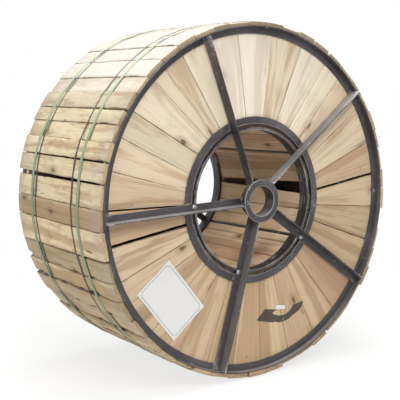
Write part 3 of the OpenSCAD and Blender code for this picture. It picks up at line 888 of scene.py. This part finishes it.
class DRUM_OT_lagging(bpy.types.Operator):
    """Lagging staves round the outside, of uneven width, thickness and length"""
    bl_idname = "drum.lagging"
    bl_label = "Lagging"

    def execute(self, context):
        mould = plank_mould("lagging_mould", 14, 3)
        count = len(LAG_SEAMS)
        finish = wood("lagging", pink=0.25, weather=1.0, ends=context.scene.drum_colours.end_grain)
        groups = [[] for _ in range(LAG_GROUPS)]

        def half_gap(i, u):
            plain = 0.7 + 0.5 * (i % count * 5 % 3)
            front, back = LAG_GAPES.get(i % count, (plain, plain))
            return (front + (back - front) * u) * HALF_MM

        def start(i):
            return LAG_SEAMS[i % count] + (360 if i >= count else 0)

        for i in range(count):
            key = 600 + i
            reach = RIM_RADIUS * math.tan(math.radians(start(i + 1) - start(i)) / 2)
            thick = LAG_THICK + LAG_STEP * (1 if i == 0 or i % 7 == 1 else -1 if i % 3 == 2 else 0)
            front, back = -RIM_EDGE + LAG_TRIM * (i * 5 % 4), RIM_EDGE - LAG_TRIM * ((i + 3) * 5 % 4)
            out, side_way = around(math.radians(start(i + 1) + start(i)) / 2)
            wane = 0.012 if i in ROUGH_STAVES else 0.004 if i % 6 == 3 else 0.0
            torn = 0.005 if i in ROUGH_STAVES else 0.0

            def where(u, v, w):
                low, high = half_gap(i, u) - reach, reach - half_gap(i + 1, u)
                across = (low + high + v * (high - low)) / 2 + stray(key, u * 7, v)
                across -= v * torn * max(0.0, wave(key, u * 9, 40 if v > 0 else 44)) ** 2 * w
                rise = RIM_RADIUS + w * (thick - 0.0005 * abs(wave(key, u * 4)) - 0.0005 * v * v)
                sawn = not 0.01 < u < 0.99
                if sawn and w > 0.5:
                    rise -= LAG_CHAMFER
                if v > 0.9 and w > 0.5:
                    rise -= wane * max(0.0, wave(key, u * 5, 20)) ** 2
                place = front + u * (back - front)
                if u > 0.99:
                    place -= abs(0.0012 * wave(key, v * 2 + w, 30))
                if sawn:
                    place += 0.0015 * v * (chance(key, 9) - 0.5)
                return out * rise + side_way * across + Vector((0, place, 0))

            # Painted light and shade: the top staves take the pale bleached colour at a lower shade,
            # partly sun bleaching and partly painted top light, while lower staves are browner and darker
            # as painted shade; the chance terms give each stave its own tone
            up, down = max(0.0, out.z), max(0.0, -out.z)
            brown = 0.4 if out.z > 0.55 else 0.5 if out.z > -0.25 else 0.8
            hue = chance(key, 2) * 0.62
            warm = min(1.0, 0.36 - 0.55 * out.z - 5.0 * max(0.0, up - 0.54))
            shade = 0.92 + 0.14 * chance(key, 6) - 0.26 * up - 0.5 * max(0.0, up - 0.75) - 0.18 * down
            if i in DULL_STAVES:
                shade -= 0.14
            if i in BROWN_STAVES:
                brown, hue, shade = 1.1, 0.68, 0.84 - 0.2 * down
            shade += STAVE_TONES.get(i, 0.0)
            size = (back - front, 2 * reach, thick)
            groups[i * LAG_GROUPS // count].append(
                plank(mould, key, size, where, brown, warm, shade, hue))
        planked(groups, "lagging_planks", "lagging", finish, "lagging_wood")
        drop_moulds(mould)
        return {"FINISHED"}


class DRUM_OT_frame(bpy.types.Operator):
    """Rolled rims, rings, hoops and hubs of both flanges"""
    bl_idname = "drum.frame"
    bl_label = "Steel rings"

    def execute(self, context):
        edge, finish = context.scene.drum_sizes.steel_edge, context.scene.drum_steel
        rim, t = RIM_RADIUS, STEEL
        sections = {
            "rim": [(rim - RIM_LEG, 0), (rim, 0), (rim, RIM_LIP),
                    (rim - t, RIM_LIP), (rim - t, t), (rim - RIM_LEG, t)],
            "ring": [(RING_IN, 0), (RING_OUT, 0), (RING_OUT, t), (RING_IN, t)],
            "hoop": [(HOOP_IN, t), (HOOP_OUT, t), (HOOP_OUT, t - HOOP_DEEP), (HOOP_IN, t - HOOP_DEEP)],
            "hub": [(HUB_BORE, HUB_FOOT), (HUB_TUBE, HUB_FOOT), (HUB_TUBE, HUB_PLATE),
                    (HUB_RADIUS, HUB_PLATE), (HUB_RADIUS, HUB_TOP), (HUB_BORE, HUB_TOP)],
        }
        for part, section in sections.items():
            width, steps = (edge * 1.6, 96) if part == "hub" else (edge, 160)
            made = rolled(f"{part}_rolled", [(r, -FACE - z) for r, z in section], width, steps)
            for side, flip in (("front", Matrix.Identity(4)), ("back", MIRROR)):
                piece = copy_of(made, f"{side}_{part}_rolled", flip)
                settle(piece, finish, "frame_steel", f"{side}_{part}")
            drop_moulds(made)
        return {"FINISHED"}


class DRUM_OT_spokes(bpy.types.Operator):
    """Angle-section spokes: one leg on the rings, one standing outboard"""
    bl_idname = "drum.spokes"
    bl_label = "Spokes"

    def execute(self, context):
        t, wide, top = STEEL, SPOKE_HALF, STEEL + SPOKE_TALL
        section = [(-wide, t), (wide, t), (wide, top), (wide - t, top), (wide - t, 2 * t), (-wide, 2 * t)]
        made = outline("spoke_section", [(SPOKE_START, y, z) for y, z in section],
                       context.scene.drum_sizes.steel_edge)
        # The notch, its step and six even lengths, then what is left
        steps = [NOTCH_LONG, NOTCH_STEP] + [0.07] * 6
        for step in (*steps, SPOKE_STOP - SPOKE_START - sum(steps)):
            bpy.ops.mesh.extrude_region_move(TRANSFORM_OT_translate={"value": (step, 0, 0)})
        face_out()
        # The standing leg is notched under the hub's face plate
        pick(lambda v: v.co.x < HUB_RADIUS and v.co.z > SPOKE_TALL - STEEL)
        bpy.ops.transform.translate(value=(0, 0, -NOTCH_DEEP))
        smooth(made)
        for side, frame_of, turn in SIDES:
            for k, a in enumerate(SPOKES):
                piece = copy_of(made, f"{side}_spoke_bar_{k + 1}", frame_of @ turned(a + turn))
                settle(piece, context.scene.drum_steel, "frame_steel", f"{side}_spoke_{k + 1}")
        drop_moulds(made)
        return {"FINISHED"}


class DRUM_OT_rods(bpy.types.Operator):
    """Tie rods that run between the barrel staves, with dome nuts on their ends"""
    bl_idname = "drum.rods"
    bl_label = "Tie rods"

    def execute(self, context):
        flatness, skirt, off_middle, thick, bite = 0.46, 0.0014, -0.002, 0.004, 0.002
        clear()
        bpy.ops.mesh.primitive_uv_sphere_add(
            segments=32, ring_count=16, radius=context.scene.drum_sizes.dome_nut / 2, location=(0, 0, 0))
        dome = bpy.context.object
        edit_all()
        bpy.ops.mesh.bisect(plane_co=(0, 0, 0), plane_no=(0, 0, 1), clear_inner=True, use_fill=False)
        edit_all()
        bpy.ops.transform.resize(value=(1, 1, flatness), center_override=(0, 0, 0))
        pick(lambda v: v.co.z < 0.00002)
        bpy.ops.mesh.extrude_region_move(TRANSFORM_OT_translate={"value": (0, 0, -skirt)})
        bpy.ops.mesh.edge_face_add()
        edit_all()
        bpy.ops.transform.translate(value=(0, 0, NUT_SEAT + skirt))
        smooth(dome, 38)
        clear()
        bpy.ops.mesh.primitive_cylinder_add(
            vertices=24, radius=thick, depth=2 * (ROD_HALF + bite), location=(0, 0, 0))
        rod = bpy.context.object
        smooth(rod, 38)
        domes, rods = [], []
        for a in SPOKES:
            ends = []
            for _, frame_of, turn in SIDES:
                at = frame_of @ turned(a + turn) @ Matrix.Translation((ROD_RADIUS, off_middle, 0))
                domes.append(copy_of(dome, "dome", at))
                ends.append(at @ Vector((0, 0, NUT_SEAT)))
            way = (ends[1] - ends[0]).to_track_quat("Z", "X").to_matrix().to_4x4()
            rods.append(copy_of(rod, "rod", Matrix.Translation((ends[0] + ends[1]) / 2) @ way))
        settle(fused(domes, "dome_nuts"), zinc("nut_zinc"), "bolt_steel", "tie_rods")
        settle(fused(rods, "tie_rod_bars"), context.scene.drum_steel, "bolt_steel")
        drop_moulds(dome, rod)
        return {"FINISHED"}


class DRUM_OT_welds(bpy.types.Operator):
    """Weld beads where spokes meet hub, ring and rim, and where each rim is joined"""
    bl_idname = "drum.welds"
    bl_label = "Weld beads"

    def execute(self, context):
        r = context.scene.drum_sizes.bead_width / 2
        clear()
        bpy.ops.mesh.primitive_uv_sphere_add(segments=12, ring_count=8, radius=r, location=(0, 0, 0))
        drop = bpy.context.object
        edit_all()
        bpy.ops.transform.resize(value=(0.85, 1, 0.62), center_override=(0, 0, 0))
        clear()

        def bead(a, b, key):
            """Overlapping drops of uneven size from one point to another."""
            a, b = Vector(a), Vector(b)
            count = max(3, int((b - a).length / (r * 0.95)))
            way = (b - a).to_track_quat("X", "Z").to_matrix().to_4x4()
            found = []
            for i in range(count + 1):
                grow = 0.78 + 0.4 * chance(key * 31 + i, 2)
                at = a.lerp(b, i / count) + Vector((0, 0, 0.0008 * (chance(key * 17 + i, 3) - 0.5)))
                found.append(copy_of(drop, "drop", Matrix.Translation(at) @ way @ Matrix.Scale(grow, 4)))
            return found

        z, wide, hub, tube = STEEL, SPOKE_HALF, HUB_RADIUS, HUB_TUBE
        rim_in, lip = RIM_RADIUS - RIM_LEG, RIM_RADIUS - STEEL

        def flanks(first, last):
            """Lines along both edges of a spoke's lying leg."""
            return [((first, y, z), (last, y, z)) for y in (-wide - 0.001, wide + 0.001)]

        lines = [
            ((tube + 0.001, -wide + 0.002, z + 0.005), (tube + 0.001, wide - 0.006, z + 0.005)),
            ((hub + 0.001, wide + 0.0005, z + 0.034), (hub + 0.001, wide + 0.0005, z + 0.038)),
            ((tube, wide + 0.001, z), (tube, wide + 0.001, z + 0.032)),
            ((tube + 0.001, wide - 0.005, z + 0.006), (tube + 0.001, wide - 0.005, z + 0.032)),
            *flanks(rim_in + 0.002, lip - 0.003),
            ((lip - 0.002, wide - 0.006, z + 0.005), (lip - 0.002, -wide + 0.002, z + 0.005)),
            *flanks(RING_IN + 0.003, RING_OUT - 0.004),
        ]
        joint = [
            ((rim_in + 0.001, 0, z), (lip - 0.001, 0, z)),
            ((lip + 0.0005, 0, z + 0.002), (lip + 0.0005, 0, RIM_LIP - 0.002)),
        ]
        for side, frame_of, turn in SIDES:
            drops = []
            for k, a in enumerate(SPOKES):
                one = [d for n, (p, q) in enumerate(lines) for d in bead(p, q, k * 20 + n)]
                for d in one:
                    d.data.transform(frame_of @ turned(a + turn))
                drops += one
            seam = [d for p, q in joint for d in bead(p, q, 77)]
            for d in seam:
                d.data.transform(frame_of @ turned(RIM_JOINTS[side]))
            made = fused(drops + seam, f"{side}_weld_beads")
            if side == "back":
                face_out()
            smooth(made, 60)
            settle(made, context.scene.drum_steel, "frame_steel")
        drop_moulds(drop)
        return {"FINISHED"}


class DRUM_OT_paper(bpy.types.Operator):
    """The pasted sheet and the small sticker on the front boards"""
    bl_idname = "drum.paper"
    bl_label = "Paper"

    def execute(self, context):
        s = context.scene.drum_sizes
        finish = sheet_paper("pasted_paper")

        def leaf(name, long, short, cuts, place, lift):
            """A leaf of paper that waves a little over the boards."""
            clear()
            bpy.ops.mesh.primitive_grid_add(
                x_subdivisions=cuts[0], y_subdivisions=cuts[1], size=1, location=(0, 0, 0))
            made = named(name)
            edit_all()
            bpy.ops.transform.resize(value=(long, short, 1), center_override=(0, 0, 0))
            clear()
            own = made.data.attributes.new("paper", "FLOAT_VECTOR", "POINT")
            for i, v in enumerate(made.data.vertices):
                own.data[i].vector = v.co
                slow = 0.0005 * (1 + math.sin(v.co.x * 46 + v.co.y * 31))
                v.co.z = lift + slow + 0.0004 * math.sin(v.co.y * 88)
            radius, angle, turn = place
            made.data.transform(AT_FRONT @ Matrix.Translation(polar(radius, angle)) @ turned(turn))
            smooth(made, 60)
            return made

        sheet = leaf("pasted_sheet", s.sheet_long, s.sheet_short, (42, 30), SHEET_AT, 0.0004)
        settle(sheet, finish, "label_paper", "front_paper")
        tag = leaf("small_sticker", *STICKER, (12, 5), STICKER_AT, 0.0003)
        settle(tag, finish, "label_paper")
        return {"FINISHED"}


class DRUM_OT_straps(bpy.types.Operator):
    """Finishes of the straps, bands and seals that the frame gives"""
    bl_idname = "drum.straps"
    bl_label = "Straps and bands"

    def execute(self, context):
        plastic, dark, bright = strap_plastic("strap_green"), band_steel("band_blued"), zinc("seal_zinc")
        given = {"front_strap": plastic, "back_strap": plastic, "front_band": dark, "back_band": dark,
                 "strap_seals": bright, "band_seals": bright}
        for name, finish in given.items():
            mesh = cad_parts[name].data
            mesh.materials.clear()
            mesh.materials.append(finish)
        return {"FINISHED"}


class DRUM_OT_stage(bpy.types.Operator):
    """Pale floor, white surroundings, soft lamps and the camera"""
    bl_idname = "drum.stage"
    bl_label = "Stage"

    def execute(self, context):
        scene = context.scene
        ground = CAD_BOX[0][2]
        clear()
        bpy.ops.mesh.primitive_circle_add(vertices=96, radius=9, fill_type="NGON", location=(0, 0, ground))
        floor = named("studio_floor")
        f = Finish("floor_pale")
        x, y, _ = f.split(f.place())
        f.put_named(f.shader, {"Base Color": FLOOR_GREY, "Roughness": 0.9, "Specular IOR Level": 0.1})
        glow = f.node("ShaderNodeEmission", None, WHITE, 1.0)
        pale = Sock(f, f.shader.outputs[0])
        lifted = f.node("ShaderNodeMixShader", None, f.looked_at() * 0.74, pale, glow)
        # The floor fades out away from the drum
        away = (x * x + y * y).root().ramp(0.8, 2.0)
        open_air = f.node("ShaderNodeBsdfTransparent")
        f.put(f.output.inputs[0], f.node("ShaderNodeMixShader", None, away, lifted, open_air))
        floor.data.materials.append(f.material)

        scene.world = bpy.data.worlds.new("studio_white")
        scene.world.use_nodes = True
        sky = Nodes(scene.world.node_tree)
        soft = sky.node("ShaderNodeBackground", None, LAMP_TINT, 0.50)
        white = sky.node("ShaderNodeBackground", None, WHITE, 1.0)
        both = sky.node("ShaderNodeMixShader", None, sky.looked_at(), soft, white)
        sky.node("ShaderNodeOutputWorld", None, both)

        def lamp(name, at, aim, size, power):
            data = bpy.data.lights.new(name, "AREA")
            data.shape, data.size, data.energy, data.color = "DISK", size, power, LAMP_TINT
            made = bpy.data.objects.new(name, data)
            made.location = at
            made.rotation_euler = (Vector(aim) - Vector(at)).to_track_quat("-Z", "Y").to_euler()
            scene.collection.objects.link(made)

        lamp("sky_lamp", (0.15, -0.2, 3.4), (0, 0, 0), 2.4, 124)
        lamp("front_lamp", (-1.3, -2.9, 2.7), (0, -0.3, 0.1), 1.8, 98)
        lamp("left_lamp", (-3.6, 0.2, 0.7), (-0.3, 0, 0), 2.0, 42)

        data = bpy.data.cameras.new("photo_camera")
        data.sensor_width, data.lens = 36.0, CAMERA_LENS
        data.shift_x, data.shift_y = CAMERA_SHIFT
        camera = bpy.data.objects.new("photo_camera", data)
        camera.location = CAMERA_AT
        camera.rotation_euler = (math.radians(90 - CAMERA_DOWN), 0, math.radians(-CAMERA_RIGHT))
        scene.collection.objects.link(camera)
        scene.camera = camera
        scene.view_settings.view_transform = "Standard"
        return {"FINISHED"}


class DRUM_PT_panel(bpy.types.Panel):
    """Lists the drum's pieces and finishes"""
    bl_idname = "DRUM_PT_panel"
    bl_label = "Cable drum"
    bl_space_type = "VIEW_3D"
    bl_region_type = "UI"
    bl_category = "Drum"

    def draw(self, context):
        column = self.layout.column()
        for operator in OPERATORS:
            column.operator(operator.bl_idname)
        for group in (context.scene.drum_sizes, context.scene.drum_colours):
            for key in group.__annotations__:
                column.prop(group, key)


OPERATORS = (DRUM_OT_stage, DRUM_OT_boards, DRUM_OT_barrel, DRUM_OT_lagging, DRUM_OT_frame, DRUM_OT_spokes,
             DRUM_OT_welds, DRUM_OT_rods, DRUM_OT_paper, DRUM_OT_straps)
CLASSES = (DrumSizes, DrumColours, *OPERATORS, DRUM_PT_panel)


def register():
    for kind in CLASSES:
        bpy.utils.register_class(kind)
    bpy.types.Scene.drum_sizes = bpy.props.PointerProperty(type=DrumSizes)
    bpy.types.Scene.drum_colours = bpy.props.PointerProperty(type=DrumColours)
    bpy.types.Scene.drum_steel = bpy.props.PointerProperty(type=bpy.types.Material)


def unregister():
    del bpy.types.Scene.drum_steel, bpy.types.Scene.drum_colours, bpy.types.Scene.drum_sizes
    for kind in reversed(CLASSES):
        bpy.utils.unregister_class(kind)


def main():
    register()
    bpy.context.scene.drum_steel = steel_paint("frame_steel")
    for operator in OPERATORS:
        family, name = operator.bl_idname.split(".")
        getattr(getattr(bpy.ops, family), name)()


if __name__ == "__main__":
    main()
